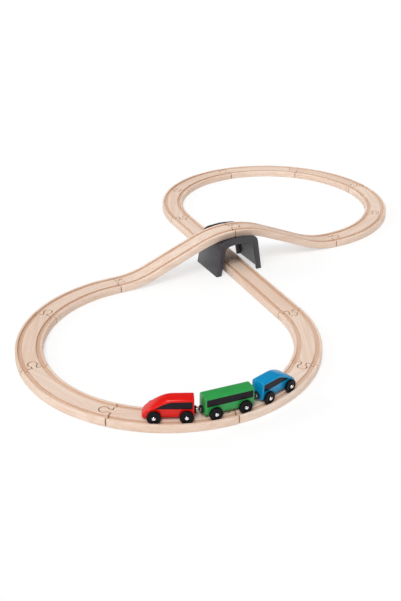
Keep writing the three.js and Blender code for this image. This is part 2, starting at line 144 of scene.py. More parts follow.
class CarSizes(bpy.types.PropertyGroup):
    width: length("Width", 20, "Width of a body")
    bottom: length("Bottom", 15, "Underside of a body above the floor")
    top: length("Top", 42, "Roof above the floor")
    edge_round: length("Edge round", 4, "Rounding of the wooden edges")
    end_round: length("End round", 1.6, "Rounding round the ends")
    wagon_half: length("Wagon half", 34, "Middle of the wagon to both its ends")
    cab_back: length("Cab back", 30, "Middle of the wheelbase to a cab's coupled end")
    cab_nose: length("Cab nose", 36, "Middle of the wheelbase to a cab's rounded end")
    nose_tip: length("Nose tip", 5, "Height of the nose at its tip before the tip is rounded")
    nose_spring: length("Nose spring", 6, "The nose leaves its tip at 45 degrees for this far")
    nose_round: length("Nose round", 6, "Corners of the nose seen from above")
    tip_round: length("Tip round", 2.2, "Brow and chin of the nose seen from the side")
    roof_end: length("Roof end", 3, "The flat roof ends this far behind the middle")
    roof_tangent: length("Roof tangent", 17, "The roof keeps its direction for this far")
    wheelbase: length("Wheelbase", 41, "Between the two axles of a car")
    window_bottom: length("Window bottom", 28.2, "Lower edge of the window band")
    window_height: length("Window height", 10.6, "Height of the window band")
    window_margin: length("Window margin", 2, "From the end of a body to the band")
    window_depth: length("Window depth", 0.7, "Milled depth of the band")
    window_paint: length("Window paint", 0.35, "Paint layer in the milled band")
    window_round: length("Window round", 0.4, "Corners of the band")
    window_back: length("Window set-back", 3.5, "The band of a cab follows its roof, moved back")
    window_drop: length("Window drop", 2.8, "The band of a cab follows its roof, moved down")
    coupler_height: length("Coupler height", 21.5, "Middle of a coupler above the floor")
    coupler_radius: length("Coupler radius", 5.2, "Outside of the cup")
    coupler_reach: length("Coupler reach", 4, "From the end of a body to the face of the magnet")
    coupler_rim: length("Coupler rim", 1.5, "Wall of the cup")
    coupler_set: length("Coupler set-back", 1.2, "From the magnet's face back to the cup's rim")
    coupler_ease: length("Coupler ease", 0.4, "Rounded edges of the cup and its magnet")
    coupler_gap: length("Coupler gap", 0.6, "Between two couplers that face each other")
    shank_radius: length("Shank radius", 2.4, "Stem of a coupler")
    shank_length: length("Shank length", 5, "Stem inside the body")
    magnet: length("Magnet", 2.2, "Thickness of a magnet")
    fit_gap: length("Fit gap", 0.3, "Between parts that stay together")
    train_angle: angle("Train angle", -47.5, "Where the middle wagon stands on the near loop")


class WheelSizes(bpy.types.PropertyGroup):
    radius: length("Radius", 9.2, "Outside of a wheel")
    width: length("Width", 4, "Width of the tread")
    edge_round: length("Edge round", 1.1, "Rounding of the tread's edges")
    dish: length("Dish", 0.5, "Depth of the dished face")
    dish_outer: length("Dish outside", 7.4, "Outer radius of the dish")
    dish_inner: length("Dish inside", 4.2, "Radius of the boss inside the dish")
    axle_radius: length("Axle radius", 1.6, "Pin through the body")
    head_radius: length("Head radius", 2.7, "Domed head of the pin")
    head_height: length("Head height", 1.8, "Height of the dome")
    run_gap: length("Run gap", 0.3, "Between parts that turn or roll on each other")


class Colours(bpy.types.PropertyGroup):
    beech: colour("Beech", 0xEFDACA, "Face of the planed track wood")
    grain: colour("Beech grain", 0xC79C7B, "Grain lines and flecks of the track wood")
    red: colour("Red", 0xE4120A, "Engine")
    green: colour("Green", 0x309C4C, "Wagon")
    blue: colour("Blue", 0x058EC4, "Tail car")
    window: colour("Window", 0x211C23, "Paint of the window bands")
    wheel: colour("Wheel", 0x121114, "Wheels")
    coupler: colour("Coupler", 0x1D1D20, "Coupler cups")
    steel: colour("Steel", 0xEAEBEC, "Axle heads")
    nickel: colour("Nickel", 0xD0D2D4, "Magnets")
    support: colour("Support", 0x36353B, "Moulded bridge support")
    floor: colour("Floor", 0xFCFCFC, "Paper floor")


class TrainSettings(bpy.types.PropertyGroup):
    track: PointerProperty(type=TrackSizes)
    support: PointerProperty(type=SupportSizes)
    car: PointerProperty(type=CarSizes)
    wheel: PointerProperty(type=WheelSizes)
    colours: PointerProperty(type=Colours)


# Materials

def every(*millimetres):
    """Scale of a pattern with marks this many millimetres apart, along one axis or three."""
    scales = [1000 / step for step in millimetres]
    return scales if len(scales) > 1 else scales[0]


def add_node(tree, kind, values=None, links=None, stops=(), **options):
    """Adds a node: its options, socket values, links from other nodes and colour stops."""
    node = tree.nodes.new(kind)
    for name, value in options.items():
        setattr(node, name, value)
    for socket, value in (values or {}).items():
        node.inputs[socket].default_value = value
    for socket, source in (links or {}).items():
        tree.links.new(source, node.inputs[socket])
    for i, (position, rgb) in enumerate(stops):
        node.color_ramp.elements[i].position = position
        node.color_ramp.elements[i].color = (*rgb, 1)
    return node


def new_material(name, **values):
    """Material with one shader, and the shader's tree."""
    material = bpy.data.materials.new(name)
    material.use_nodes = True
    tree = material.node_tree
    tree.nodes.clear()
    shader = add_node(tree, 'ShaderNodeBsdfPrincipled', values)
    add_node(tree, 'ShaderNodeOutputMaterial', links={"Surface": shader.outputs["BSDF"]})
    return material, tree, shader


def mixed(a, b, share):
    """Colour at a share of the way from a to b."""
    return tuple(p + (q - p) * share for p, q in zip(a, b))


def beech_wood(colours):
    """Planed beech, each board in its own tone: pale streaks, short brown flecks, darker cut wood
    and painted shade.

    Growth rings of 2 to 4 mm and ray flecks of 3 by 0.4 mm are drawn coarser so that they show.
    """
    light = tuple(colours.beech)
    grain = tuple(colours.grain)
    material, tree, shader = new_material(
        "beech wood", Roughness=0.55, **{"Specular IOR Level": 0.25})
    plank = add_node(tree, 'ShaderNodeAttribute', attribute_name="plank").outputs["Vector"]
    along = add_node(tree, 'ShaderNodeMapping', {"Scale": every(125, 5.3, 5.9)}, {"Vector": plank})
    streaks = add_node(
        tree, 'ShaderNodeTexNoise', {"Scale": 1, "Detail": 4}, {"Vector": along.outputs["Vector"]})
    face = add_node(
        tree, 'ShaderNodeValToRGB', links={"Fac": streaks.outputs["Fac"]},
        stops=[(0.34, mixed(light, grain, 0.3)), (0.62, light)])
    short = add_node(tree, 'ShaderNodeMapping', {"Scale": every(9, 1.1, 1.1)}, {"Vector": plank})
    flecks = add_node(
        tree, 'ShaderNodeTexNoise', {"Scale": 1, "Detail": 1}, {"Vector": short.outputs["Vector"]})
    share = add_node(
        tree, 'ShaderNodeValToRGB', links={"Fac": flecks.outputs["Fac"]},
        stops=[(0.62, BLACK), (0.8, mixed(BLACK, WHITE, 0.45))])
    wood = add_node(
        tree, 'ShaderNodeMix', {"B": (*grain, 1)},
        {"Factor": share.outputs["Color"], "A": face.outputs["Color"]}, data_type='RGBA')
    # Groove floors, cut ends and connector walls: darker wood tone and painted shade
    depth = add_node(tree, 'ShaderNodeAttribute', attribute_name="groove").outputs["Fac"]
    cut = add_node(tree, 'ShaderNodeMath', {1: MILLED_TONE_AND_SHADE}, {0: depth}, operation='MULTIPLY')
    board = add_node(tree, 'ShaderNodeAttribute', attribute_name="board").outputs["Fac"]
    darker = add_node(
        tree, 'ShaderNodeMath', {1: BOARD_TONE}, {0: board, 2: cut.outputs[0]},
        operation='MULTIPLY_ADD')
    tone = add_node(
        tree, 'ShaderNodeMix', {"B": (*grain, 1)},
        {"Factor": darker.outputs[0], "A": wood.outputs["Result"]}, data_type='RGBA')
    tree.links.new(tone.outputs["Result"], shader.inputs["Base Color"])
    pores = add_node(
        tree, 'ShaderNodeBump', {"Strength": 0.12, "Distance": 0.0003},
        {"Height": streaks.outputs["Fac"]})
    tree.links.new(pores.outputs["Normal"], shader.inputs["Normal"])
    return material


def gloss_paint(name, rgb, shine):
    """Sprayed paint on wood: full colour, light streaks along its edges, a faintly uneven film.

    The film varies over about 11 mm. Orange peel of 0.5 mm is drawn at 1.25 mm so that it shows.
    """
    material, tree, shader = new_material(name, **{"Specular IOR Level": shine})
    place = add_node(tree, 'ShaderNodeTexCoord').outputs["Object"]
    film = add_node(
        tree, 'ShaderNodeTexNoise', {"Scale": every(11), "Detail": 3}, {"Vector": place})
    shade = add_node(
        tree, 'ShaderNodeValToRGB', links={"Fac": film.outputs["Fac"]},
        stops=[(0.3, mixed(rgb, BLACK, 0.1)), (0.7, rgb)])
    tree.links.new(shade.outputs["Color"], shader.inputs["Base Color"])
    gloss = add_node(
        tree, 'ShaderNodeMapRange', {"To Min": 0.16, "To Max": 0.28},
        {"Value": film.outputs["Fac"]})
    tree.links.new(gloss.outputs["Result"], shader.inputs["Roughness"])
    peel = add_node(tree, 'ShaderNodeTexNoise', {"Scale": every(1.25)}, {"Vector": place})
    bump = add_node(
        tree, 'ShaderNodeBump', {"Strength": 0.05, "Distance": 0.0002},
        {"Height": peel.outputs["Fac"]})
    tree.links.new(bump.outputs["Normal"], shader.inputs["Normal"])
    return material


def moulded_plastic(name, rgb, roughness, grain, shine):
    """Moulded plastic: even colour, soft sheen, and a mould grain that breaks up the highlight.

    Flow marks are about 17 mm apart. Mould grain of 0.15 mm is drawn at 0.6 mm so that it shows.
    """
    material, tree, shader = new_material(name, **{"Specular IOR Level": shine})
    place = add_node(tree, 'ShaderNodeTexCoord').outputs["Object"]
    flow = add_node(
        tree, 'ShaderNodeTexNoise', {"Scale": every(17), "Detail": 2}, {"Vector": place})
    shade = add_node(
        tree, 'ShaderNodeValToRGB', links={"Fac": flow.outputs["Fac"]},
        stops=[(0.3, mixed(rgb, BLACK, 0.06)), (0.7, rgb)])
    tree.links.new(shade.outputs["Color"], shader.inputs["Base Color"])
    sheen = add_node(
        tree, 'ShaderNodeMapRange', {"To Min": roughness - 0.02, "To Max": roughness + 0.02},
        {"Value": flow.outputs["Fac"]})
    tree.links.new(sheen.outputs["Result"], shader.inputs["Roughness"])
    mould = add_node(tree, 'ShaderNodeTexNoise', {"Scale": every(0.6)}, {"Vector": place})
    bump = add_node(
        tree, 'ShaderNodeBump', {"Strength": grain, "Distance": 0.0002},
        {"Height": mould.outputs["Fac"]})
    tree.links.new(bump.outputs["Normal"], shader.inputs["Normal"])
    return material


def plated_metal(name, rgb, roughness):
    """Plated metal: bright and mirror-like, dulled here and there by 1.4 mm handling marks."""
    material, tree, shader = new_material(name, Metallic=1)
    place = add_node(tree, 'ShaderNodeTexCoord').outputs["Object"]
    marks = add_node(
        tree, 'ShaderNodeTexNoise', {"Scale": every(1.4), "Detail": 3}, {"Vector": place})
    shade = add_node(
        tree, 'ShaderNodeValToRGB', links={"Fac": marks.outputs["Fac"]},
        stops=[(0.3, mixed(rgb, BLACK, 0.08)), (0.6, rgb)])
    tree.links.new(shade.outputs["Color"], shader.inputs["Base Color"])
    dull = add_node(
        tree, 'ShaderNodeMapRange', {"To Min": roughness - 0.05, "To Max": roughness + 0.1},
        {"Value": marks.outputs["Fac"]})
    tree.links.new(dull.outputs["Result"], shader.inputs["Roughness"])
    return material


# Mesh helpers

def everything(bm):
    return bm.verts[:] + bm.edges[:] + bm.faces[:]


def end_faces(bm):
    """The two ends of a plank or a bar, its only faces with many corners."""
    return [f for f in bm.faces if len(f.verts) > 4]


def moved(bm, matrix):
    bmesh.ops.transform(bm, matrix=matrix, verts=bm.verts)
    return bm


def rounded(count=ROUND_STEPS):
    """Angles of a quarter turn, in equal steps."""
    return [math.pi / 2 * i / count for i in range(count + 1)]


def combine(first, second, operation):
    """Boolean of two closed meshes, as a new one."""
    hosts = []
    for bm in (first, second):
        mesh = bpy.data.meshes.new("combine")
        bm.to_mesh(mesh)
        bm.free()
        host = bpy.data.objects.new("combine", mesh)
        bpy.context.scene.collection.objects.link(host)
        hosts.append(host)
    modifier = hosts[0].modifiers.new("combine", 'BOOLEAN')
    modifier.object = hosts[1]
    modifier.operation = operation
    modifier.solver = 'EXACT'
    result = bmesh.new()
    result.from_object(hosts[0], bpy.context.evaluated_depsgraph_get())
    bmesh.ops.remove_doubles(result, verts=result.verts, dist=MERGE)
    for host in hosts:
        bpy.data.meshes.remove(host.data)
    return result


def lathe(profile, closed=False):
    """Turns (along, radius) points round the X axis."""
    bm = bmesh.new()
    verts = [bm.verts.new((along, 0, radius)) for along, radius in profile]
    pairs = zip(verts, verts[1:] + verts[:1]) if closed else zip(verts, verts[1:])
    for pair in pairs:
        bm.edges.new(pair)
    bmesh.ops.spin(
        bm, geom=everything(bm), cent=(0, 0, 0), axis=AXIS["X"], angle=math.tau, steps=TURN_STEPS,
        use_merge=True)
    bmesh.ops.remove_doubles(bm, verts=bm.verts, dist=MERGE)
    bmesh.ops.recalc_face_normals(bm, faces=bm.faces)
    return bm


def add_piece(name, bm, body, slot, material, *nodes):
    """Makes a piece that rides a body and stands for CAD nodes. Its place is in its mesh."""
    mesh = bpy.data.meshes.new(name)
    bm.to_mesh(mesh)
    bm.free()
    mesh.materials.append(material)
    mesh.shade_smooth()
    mesh.set_sharp_from_angle(angle=SMOOTH_BELOW)
    piece = bpy.data.objects.new(name, mesh)
    bpy.context.scene.collection.objects.link(piece)
    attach(piece, body)
    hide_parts(*nodes)


# Track: each piece starts at its own origin on the floor and runs towards +X.

def crossing(track):
    """Half the angle between the straights and the ramps, which closes the figure of eight."""
    return math.atan2(track.radius, track.straight)


def sweep(track):
    """Angle of one curve, its share of a loop."""
    return (math.pi + 2 * crossing(track)) / track.curves


def ramp_bend(track):
    """Radius of a ramp's two equal bends, on the middle of the plank."""
    flat = track.straight * math.sin(track.slope) - track.rise * math.cos(track.slope)
    return flat / (2 * (1 - math.cos(track.slope)))


def end_trim(track):
    """Half a joint gap and the sanded edge: a swept plank ends this much earlier."""
    return track.joint_gap / 2 + track.end_ease


def face_line(track, grooved):
    """One face of the plank from edge to edge: (across, depth below the face)."""
    edge = track.width / 2
    r = track.edge_round
    ease = track.groove_ease
    left = [(r - r * math.cos(a) - edge, r - r * math.sin(a)) for a in rounded()]
    line = list(left)
    for middle in (-track.gauge / 2, track.gauge / 2) if grooved else ():
        near = middle - track.groove_width / 2
        far = middle + track.groove_width / 2
        line += [(near - ease, 0), (near, ease), (near, track.groove_depth)]
        line += [(far, track.groove_depth), (far, ease), (far + ease, 0)]
    return line + [(-across, depth) for across, depth in reversed(left)]


def plank_section(track, both_faces):
    """Cross-section as one face that stands across the start of a piece."""
    bm = bmesh.new()
    groove = bm.verts.layers.float.new("groove")
    below = [(across, depth, depth) for across, depth in face_line(track, both_faces)]
    above = [(across, track.height - depth, depth) for across, depth in face_line(track, True)]
    for across, height, depth in below + above[::-1]:
        v = bm.verts.new((0, across, height))
        # Groove floors are marked for darker milled wood and painted shade
        v[groove] = 1 if depth == track.groove_depth else 0
    bm.faces.new(bm.verts)
    return bm


def extend(bm, faces, offset):
    """Extrudes an end face and returns the new end."""
    rim = [e for f in faces for e in f.edges]
    grown = bmesh.ops.extrude_face_region(bm, geom=faces + rim)["geom"]
    bmesh.ops.translate(bm, vec=offset, verts=[g for g in grown if isinstance(g, BMVert)])
    return [g for g in grown if isinstance(g, BMFace)]


def turn(bm, faces, centre, axis, amount, steps):
    """Spins an end face round a centre and returns the new end."""
    geom = [v for f in faces for v in f.verts] + [e for f in faces for e in f.edges] + faces
    last = bmesh.ops.spin(
        bm, geom=geom, cent=centre, axis=AXIS[axis], angle=amount, steps=steps)["geom_last"]
    return [g for g in last if isinstance(g, BMFace)]


def straight_plank(track):
    bm = plank_section(track, True)
    trim = end_trim(track)
    moved(bm, Matrix.Translation((trim, 0, 0)))
    extend(bm, bm.faces[:], (track.straight - 2 * trim, 0, 0))
    return bm


def curve_plank(track):
    bm = plank_section(track, True)
    trim = end_trim(track) / track.radius
    centre = Vector((0, -track.radius, 0))
    bmesh.ops.rotate(bm, cent=centre, matrix=Matrix.Rotation(-trim, 3, 'Z'), verts=bm.verts)
    turn(bm, bm.faces[:], centre, "Z", 2 * trim - sweep(track), CURVE_STEPS)
    return bm


def rising_plank(track):
    bm = plank_section(track, False)
    bend = ramp_bend(track)
    trim = end_trim(track) / bend
    foot = Vector((0, 0, track.height / 2 + bend))
    crest = Vector((track.straight, 0, track.rise + track.height / 2 - bend))
    run = (track.straight - 2 * bend * math.sin(track.slope)) / math.cos(track.slope)
    climb = Vector((math.cos(track.slope), 0, math.sin(track.slope)))
    bmesh.ops.rotate(bm, cent=foot, matrix=Matrix.Rotation(-trim, 3, 'Y'), verts=bm.verts)
    end = turn(bm, bm.faces[:], foot, "Y", trim - track.slope, BEND_STEPS)
    end = extend(bm, end, run * climb)
    turn(bm, end, crest, "Y", track.slope - trim, BEND_STEPS)
    return bm


def falling_plank(track):
    """A rising plank turned round to start at its crest."""
    turned = Matrix.Translation((track.straight, 0, -track.rise)) @ Matrix.Rotation(math.pi, 4, 'Z')
    return moved(rising_plank(track), turned)


def ease_ends(bm, ease):
    """Sands the two ends of a plank and darkens their end grain, partly as painted shade in the
    joint gap.
    """
    groove = bm.verts.layers.float["groove"]
    bmesh.ops.recalc_face_normals(bm, faces=bm.faces)
    for end in end_faces(bm):
        bmesh.ops.inset_region(bm, faces=[end], thickness=ease, depth=ease, use_even_offset=True)
        for v in end.verts:
            v[groove] = CUT_WOOD_AND_SHADE


def keyhole(track, layers):
    """Solid of a knob or its socket through (height, clearance) layers."""
    bm = bmesh.new()
    rings = []
    for height, clearance in layers:
        radius = track.knob_radius + clearance
        neck = track.neck_width / 2 + clearance
        opening = math.pi - math.asin(neck / radius)
        line = [(-track.knob_root, neck), (-track.knob_root, -neck)]
        for i in range(KNOB_STEPS + 1):
            a = opening * (2 * i / KNOB_STEPS - 1)
            line.append((track.knob_reach + radius * math.cos(a), radius * math.sin(a)))
        verts = [bm.verts.new((x, y, height)) for x, y in line]
        rings.append([bm.edges.new(pair) for pair in zip(verts, verts[1:] + verts[:1])])
    for low, high in zip(rings, rings[1:]):
        bmesh.ops.bridge_loops(bm, edges=low + high)
    for cap in (rings[0], rings[-1]):
        bmesh.ops.contextual_create(bm, geom=cap)
    bmesh.ops.recalc_face_normals(bm, faces=bm.faces)
    return bm


def darken_walls_with_shade(track, bm, place):
    """Darkens the walls of the knob or socket at a place as cut wood with painted shade, and leaves
    its faces plain.
    """
    groove = bm.verts.layers.float["groove"]
    half = track.knob_radius + track.clearance + TOUCH
    low = track.end_ease - TOUCH
    for v in bm.verts:
        along, across, height = place.inverted() @ v.co
        if -end_trim(track) < along < track.knob_reach + half and abs(across) < half:
            v[groove] = CUT_WOOD_AND_SHADE if low < height < track.height - low else 0


def with_connectors(track, plank, end):
    """Cuts the socket at the near end of a plank and adds the knob at its far end."""
    ease = track.end_ease
    top = track.height
    gap = track.clearance
    flare = [(-ease, gap + 2 * ease), (ease, gap), (top - ease, gap), (top + ease, gap + 2 * ease)]
    low = track.knob_sink
    high = top - track.knob_sink
    knob = [(low, -ease), (low + ease, 0), (high - ease, 0), (high, -ease)]
    ease_ends(plank, ease)
    cut = combine(plank, keyhole(track, flare), 'DIFFERENCE')
    joined = combine(cut, moved(keyhole(track, knob), end), 'UNION')
    # Cut-wood tone and painted shade on the walls of the socket and the knob
    darken_walls_with_shade(track, joined, Matrix.Identity(4))
    darken_walls_with_shade(track, joined, end)
    return joined


def curve_end(track):
    """Place of the piece after a right curve."""
    out = Matrix.Translation((0, track.radius, 0))
    return out.inverted() @ Matrix.Rotation(-sweep(track), 4, 'Z') @ out


def track_ends(track):
    """Place of the next piece for each kind of piece."""
    turned = Matrix.Rotation(math.pi, 4, 'X')
    return {
        "straight": Matrix.Translation((track.straight, 0, 0)),
        "right": curve_end(track),
        "left": turned @ curve_end(track) @ turned,
        "rising": Matrix.Translation((track.straight, 0, track.rise)),
        "falling": Matrix.Translation((track.straight, 0, -track.rise)),
    }


def laid_track(track):
    """(name, kind, place) of each piece, laid one after another from the crossing."""
    loop = range(1, track.curves + 1)
    order = [("straight_near", "straight")]
    order += [(f"curve_near_{i}", "right") for i in loop]
    order += [("ramp_rising", "rising"), ("ramp_falling", "falling")]
    order += [(f"curve_far_{i}", "left") for i in loop]
    order += [("straight_far", "straight")]
    ends = track_ends(track)
    here = Matrix.Rotation(crossing(track) - math.pi / 2, 4, 'Z')
    places = []
    for name, kind in order:
        places.append((name, kind, here))
        here = here @ ends[kind]
    return places


def lay(settings, shapes, heading=0):
    """Lays copies of the shapes, by kind, each cut from its own stretch of wood.

    The heading turns the chord of a curve, and so its grain, to the X axis.
    """
    track = settings.track
    wood = bpy.data.materials.get("beech wood") or beech_wood(settings.colours)
    along = Matrix.Rotation(heading, 3, 'Z')
    for i, (name, kind, place) in enumerate(laid_track(track)):
        if kind not in shapes:
            continue
        bm = shapes[kind].copy()
        grain = bm.verts.layers.float_vector.new("plank")
        board = bm.verts.layers.float.new("board")
        for v in bm.verts:
            v[grain] = along @ v.co + i * NEXT_BOARD
            v[board] = (FIRST_TONE + NEXT_TONE * i) % 1
        add_piece(f"{name}_wood", moved(bm, place), "layout", "beech", wood, name)
    for bm in shapes.values():
        bm.free()


class TRAIN_OT_straights(bpy.types.Operator):
    """Lay the two straights that pass under the bridge"""
    bl_idname = "train.straights"
    bl_label = "Straights"

    def execute(self, context):
        settings = context.scene.train
        track = settings.track
        plank = with_connectors(track, straight_plank(track), track_ends(track)["straight"])
        lay(settings, {"straight": plank})
        return {'FINISHED'}


class TRAIN_OT_curves(bpy.types.Operator):
    """Lay the curves of both loops; the far loop has them turned over"""
    bl_idname = "train.curves"
    bl_label = "Curves"

    def execute(self, context):
        settings = context.scene.train
        track = settings.track
        right = with_connectors(track, curve_plank(track), curve_end(track))
        over = Matrix.Translation((0, 0, track.height)) @ Matrix.Rotation(math.pi, 4, 'X')
        lay(settings, {"right": right.copy()}, sweep(track) / 2)
        lay(settings, {"left": moved(right, over)}, -sweep(track) / 2)
        return {'FINISHED'}


class TRAIN_OT_ramps(bpy.types.Operator):
    """Lay the two ramps that meet on the bridge"""
    bl_idname = "train.ramps"
    bl_label = "Ramps"

    def execute(self, context):
        settings = context.scene.train
        track = settings.track
        ends = track_ends(track)
        lay(settings, {
            "rising": with_connectors(track, rising_plank(track), ends["rising"]),
            "falling": with_connectors(track, falling_plank(track), ends["falling"]),
        })
        return {'FINISHED'}


class TRAIN_OT_support(bpy.types.Operator):
    """Soften the moulded edges of the bridge support"""
    bl_idname = "train.support"
    bl_label = "Bridge support"

    def execute(self, context):
        settings = context.scene.train
        bm = bmesh.new()
        bm.from_mesh(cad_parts["bridge_support"].data)
        bmesh.ops.remove_doubles(bm, verts=bm.verts, dist=MERGE)
        bmesh.ops.dissolve_limit(bm, angle_limit=FLAT_BELOW, verts=bm.verts, edges=bm.edges)
        sharp = [e for e in bm.edges if e.calc_face_angle(0) > SHARP_ABOVE]
        bmesh.ops.bevel(
            bm, geom=sharp, offset=settings.support.edge_round, affect='EDGES',
            segments=MOULD_STEPS, profile=0.5, material=-1, clamp_overlap=True)
        grey = moulded_plastic(
            "grey moulded plastic", tuple(settings.colours.support),
            roughness=0.28, grain=0.12, shine=0.5)
        add_piece("bridge_support_shell", bm, "layout", "grey_plastic", grey, "bridge_support")
        return {'FINISHED'}


# Train: each car is drawn with +X away from the loop's centre and its front towards -Y.

def car_radius(settings):
    """From the loop's centre to the middle of a car whose wheels stand on the centre line."""
    return math.sqrt(settings.track.radius ** 2 - (settings.car.wheelbase / 2) ** 2)


def hub(settings, end, out=0):
    """Middle of the axle at an end of a car, or of a wheel that stands out from the middle."""
    track = settings.track
    height = track.height - track.groove_depth + settings.wheel.run_gap + settings.wheel.radius
    return out, end * settings.car.wheelbase / 2, height


def coupler_angle(settings, body_end):
    """Part of the angle between two coupled cars that belongs to the car with this body end."""
    car = settings.car
    face = body_end + car.coupler_reach
    slack = car.coupler_radius * face / car_radius(settings) + car.coupler_gap / 2
    return math.atan2(face + slack, car_radius(settings))


def car_places(settings):
    """Place of each car by name."""
    car = settings.car
    track = settings.track
    pitch = coupler_angle(settings, car.wagon_half) + coupler_angle(settings, car.cab_back)
    centre = Matrix.Translation((0, -math.hypot(track.radius, track.straight), 0))
    out = Matrix.Translation((car_radius(settings), 0, 0))
    return {
        name: centre @ Matrix.Rotation(car.train_angle + step * pitch, 4, 'Z') @ out
        for name, step in (("engine", -1), ("wagon", 0), ("tail", 1))
    }


def couplers(car):
    """(car, 'front' or 'rear', direction along Y, body end) of each coupler."""
    return (
        ("engine", "rear", 1, car.cab_back),
        ("wagon", "front", -1, car.wagon_half),
        ("wagon", "rear", 1, car.wagon_half),
        ("tail", "front", -1, car.cab_back),
    )


def roofline(car, t):
    """(along, height) on the curve from the flat roof, t = 0, to the tip of the nose, t = 1."""
    tip = Vector((-car.cab_nose, car.bottom + car.nose_tip))
    spring = tip + Vector((car.nose_spring, car.nose_spring))
    start = Vector((car.roof_end, car.top))
    level = start - Vector((car.roof_tangent, 0))
    s = 1 - t
    return s ** 3 * start + 3 * s * s * t * level + 3 * s * t * t * spring + t ** 3 * tip


def fall(radius, distance):
    """How far a side falls back at a distance behind a tip that is rounded by the radius."""
    inside = max(0, radius - distance)
    return radius - math.sqrt(radius ** 2 - inside ** 2)


def nose_station(car, ring):
    """Along, underside, roof and half width at a ring; the last ring is the coupled end."""
    if ring > NOSE_STEPS:
        return car.cab_back - car.end_round, car.bottom, car.top, car.width / 2
    along, roof = roofline(car, 1 - (ring / NOSE_STEPS) ** 2)
    behind = along + car.cab_nose
    ease = fall(car.tip_round, behind)
    return along, car.bottom + ease, roof - ease, car.width / 2 - fall(car.nose_round, behind)


def long_edges(bm):
    """Edges that run along a car."""
    return [e for e in bm.edges if abs(e.verts[0].co.y - e.verts[1].co.y) > MERGE]


def block(car, front, back):
    """Bar with rounded long edges between two ends."""
    bm = bmesh.new()
    middle = Matrix.Translation((0, (front + back) / 2, (car.top + car.bottom) / 2))
    size = Matrix.Diagonal((car.width, back - front, car.top - car.bottom, 1))
    bmesh.ops.create_cube(bm, size=1, matrix=middle @ size)
    bmesh.ops.bevel(
        bm, geom=long_edges(bm), offset=car.edge_round, affect='EDGES', segments=ROUND_STEPS,
        profile=0.5, material=-1)
    return bm


def round_ends(bm, radius, ends):
    """Rounds the edges of these end faces, which move out by the radius."""
    bmesh.ops.recalc_face_normals(bm, faces=bm.faces)
    for end in ends:
        for a, b in zip(rounded(), rounded()[1:]):
            bmesh.ops.inset_region(
                bm, faces=[end], thickness=radius * (math.cos(a) - math.cos(b)),
                depth=radius * (math.sin(b) - math.sin(a)), use_even_offset=True)


def wagon_shape(car):
    reach = car.wagon_half - car.end_round
    bm = block(car, -reach, reach)
    round_ends(bm, car.end_round, end_faces(bm))
    return bm


def cab_shape(car):
    """The bar drawn down to a low nose that is rounded from above and from the side."""
    bm = block(car, -car.cab_nose, car.cab_back)
    bmesh.ops.subdivide_edges(bm, edges=long_edges(bm), cuts=NOSE_STEPS, use_grid_fill=True)
    middle = (car.top + car.bottom) / 2
    for v in bm.verts:
        share = (v.co.y + car.cab_nose) / (car.cab_nose + car.cab_back)
        along, under, roof, half = nose_station(car, round(share * (NOSE_STEPS + 1)))
        edge = min(1, (roof - under) / (NOSE_EDGE * car.edge_round))
        v.co.y = along
        v.co.x -= math.copysign(car.width / 2 - half, v.co.x)
        if v.co.z > middle:
            v.co.z = roof - edge * (car.top - v.co.z)
        else:
            v.co.z = under + edge * (v.co.z - car.bottom)
    round_ends(bm, car.end_round, [f for f in end_faces(bm) if f.calc_center_median().y > 0])
    return bm


def window_outline(car, cab):
    """Corners of the window band as (along, height)."""
    low = car.window_bottom
    high = low + car.window_height
    if not cab:
        reach = car.wagon_half - car.window_margin
        return [(-reach, low), (reach, low), (reach, high), (-reach, high)]
    back = car.cab_back - car.window_margin
    shift = Vector((car.window_back, -car.window_drop))
    curve = [roofline(car, i / NOSE_STEPS) + shift for i in range(NOSE_STEPS + 1)]
    inside = [tuple(p) for p in curve if low < p.y < high]
    return [(back, low), (back, high), *inside]


def window_bands(car, cab, outside):
    """Both window bands from the milled floor out to this distance from the middle."""
    inside = car.width / 2 - car.window_depth
    bm = bmesh.new()
    bm.faces.new([bm.verts.new((inside, y, z)) for y, z in window_outline(car, cab)])
    corners = [v for v in bm.verts if abs(v.calc_edge_angle()) > CORNER_ABOVE]
    bmesh.ops.bevel(
        bm, geom=corners, offset=car.window_round, affect='VERTICES', segments=ROUND_STEPS,
        profile=0.5, material=-1)
    extend(bm, bm.faces[:], (outside - inside, 0, 0))
    bmesh.ops.mirror(bm, geom=everything(bm), matrix=Matrix.Identity(4), merge_dist=0, axis='X')
    bmesh.ops.recalc_face_normals(bm, faces=bm.faces)
    return bm


def pin_hole(cuts, radius, depth, axis, centre):
    """Adds the cylinder of a hole to the cuts."""
    turned = AXIS["Z"].rotation_difference(AXIS[axis]).to_matrix().to_4x4()
    bmesh.ops.create_cone(
        cuts, cap_ends=True, segments=TURN_STEPS // 2, radius1=radius, radius2=radius, depth=depth,
        matrix=Matrix.Translation(centre) @ turned)


def milled(settings, bm, cab, ends):
    """Cuts the window bands, the axle bores and the coupler bores at these ends of a body."""
    car = settings.car
    cuts = window_bands(car, cab, car.width)
    bore = settings.wheel.axle_radius + car.fit_gap
    for end, _ in ENDS:
        pin_hole(cuts, bore, 2 * car.width, "X", hub(settings, end))
    depth = 2 * (car.shank_length + car.fit_gap)
    for end in ends:
        pin_hole(cuts, car.shank_radius + car.fit_gap, depth, "Y", (0, end, car.coupler_height))
    return combine(bm, cuts, 'DIFFERENCE')


